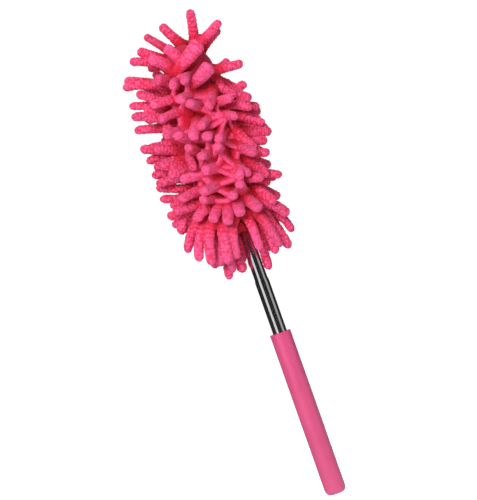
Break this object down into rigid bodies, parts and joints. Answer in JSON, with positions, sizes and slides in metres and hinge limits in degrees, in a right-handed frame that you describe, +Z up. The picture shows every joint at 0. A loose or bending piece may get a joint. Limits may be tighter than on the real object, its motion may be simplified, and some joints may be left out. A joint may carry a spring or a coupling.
{
  "type": "telescopic chenille duster",
  "caption": "Hand duster: a foam grip on a telescopic steel pole, and a bendable wire-cored head covered in soft chenille strands.",
  "frame": {"origin": "centre of the flat face at the closed end of the foam grip", "axes": "+Z up along the pole to the tip of the head; +X and +Y across the pole, with the head bending towards +X and -X"},
  "size_m": [0.12, 0.12, 0.492],
  "materials": {
    "grip_foam": "satin pink closed-cell foam",
    "tube_steel": "polished",
    "black_plastic": "moulded black",
    "nylon": "natural white nylon",
    "rivet_steel": "zinc plated",
    "wire_iron": "annealed and galvanised",
    "core_foam": "open-cell foam",
    "backing_fabric": "deep pink knitted microfibre",
    "chenille": "hot pink microfibre pile"
  },
  "bodies": {
    "handle": {"grip": "grip_foam", "outer_tube": "tube_steel", "foot_plug": "black_plastic"},
    "middle_glide": {"middle_glide": "nylon"},
    "middle_tube": {"middle_tube": "tube_steel"},
    "inner_glide": {"inner_glide": "nylon"},
    "head_base": {"inner_tube": "tube_steel", "neck_plug": "black_plastic", "neck_rivet": "rivet_steel", "hem_band": "backing_fabric", "wire_base": "wire_iron", "foam_base": "core_foam", "sleeve_base": "backing_fabric", "strands_base": "chenille"},
    "head_lower": {"wire_lower": "wire_iron", "foam_lower": "core_foam", "sleeve_lower": "backing_fabric", "strands_lower": "chenille"},
    "head_middle": {"wire_middle": "wire_iron", "foam_middle": "core_foam", "sleeve_middle": "backing_fabric", "strands_middle": "chenille"},
    "head_upper": {"wire_upper": "wire_iron", "foam_upper": "core_foam", "sleeve_upper": "backing_fabric", "strands_upper": "chenille", "tip_cap": "black_plastic"}
  },
  "joints": [
    {"name": "middle_slide", "type": "slide", "parent": "handle", "child": "middle_glide", "axis": [0, 0, 1], "range_m": [0, 0.17]},
    {"name": "middle_twist", "type": "hinge", "parent": "middle_glide", "child": "middle_tube", "pos_m": [0, 0, 0.032], "axis": [0, 0, 1], "continuous": true},
    {"name": "inner_slide", "type": "slide", "parent": "middle_tube", "child": "inner_glide", "axis": [0, 0, 1], "range_m": [0, 0.171]},
    {"name": "inner_twist", "type": "hinge", "parent": "inner_glide", "child": "head_base", "pos_m": [0, 0, 0.063], "axis": [0, 0, 1], "continuous": true},
    {"name": "bend_low", "type": "hinge", "parent": "head_base", "child": "head_lower", "pos_m": [0, 0, 0.318], "axis": [0, 1, 0], "range_deg": [-25, 25]},
    {"name": "bend_middle", "type": "hinge", "parent": "head_lower", "child": "head_middle", "pos_m": [0, 0, 0.363], "axis": [0, 1, 0], "range_deg": [-25, 25]},
    {"name": "bend_high", "type": "hinge", "parent": "head_middle", "child": "head_upper", "pos_m": [0, 0, 0.408], "axis": [0, 1, 0], "range_deg": [-25, 25]}
  ]
}
